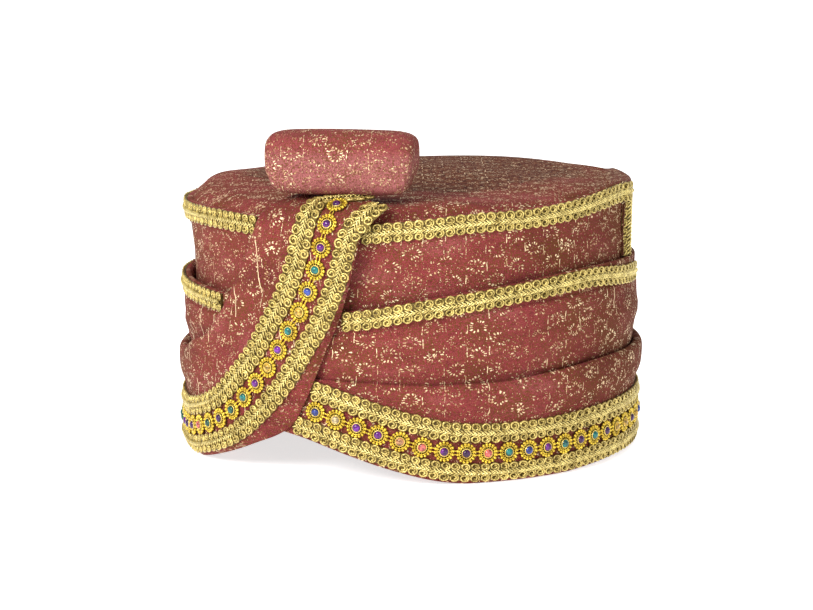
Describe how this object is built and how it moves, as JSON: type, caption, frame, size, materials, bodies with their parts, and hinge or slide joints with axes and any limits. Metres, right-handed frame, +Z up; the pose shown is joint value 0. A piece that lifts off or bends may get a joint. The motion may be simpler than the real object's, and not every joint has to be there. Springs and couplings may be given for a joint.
{
  "type": "tied turban pagri",
  "caption": "Wound brocade turban with stepped wraps, gold gimp edging, a jewelled rosette border and a padded roll on the crown",
  "frame": {"origin": "On the floor plane, under the middle of the turban's box", "axes": "+Z up through the crown, front of the turban towards -Y, +X to the viewer's right"},
  "size_m": [0.2394, 0.2402, 0.1671],
  "materials": {
    "brocade": "maroon cloth woven with rings of short gold dashes",
    "crown_brocade": "the same cloth, browner, over a padded cap",
    "roll_brocade": "the same cloth round soft filling",
    "gimp_gold": "gimp braid of pale gold metallic cord",
    "chain_gold": "gilt rosette settings with cut glass stones"
  },
  "bodies": {
    "root": {"crown_wall": "crown_brocade", "crown_top": "crown_brocade", "wrap_upper": "brocade", "wrap_middle": "brocade", "wrap_lower": "brocade", "side_flap": "brocade", "top_roll": "roll_brocade", "gimp_upper_front": "gimp_gold", "gimp_upper_back": "gimp_gold", "gimp_middle_front": "gimp_gold", "gimp_middle_back": "gimp_gold", "gimp_side": "gimp_gold", "gimp_border_upper": "gimp_gold", "gimp_border_lower": "gimp_gold", "jewel_chain_hem": "chain_gold", "jewel_chain_sash": "chain_gold"}
  },
  "joints": []
}
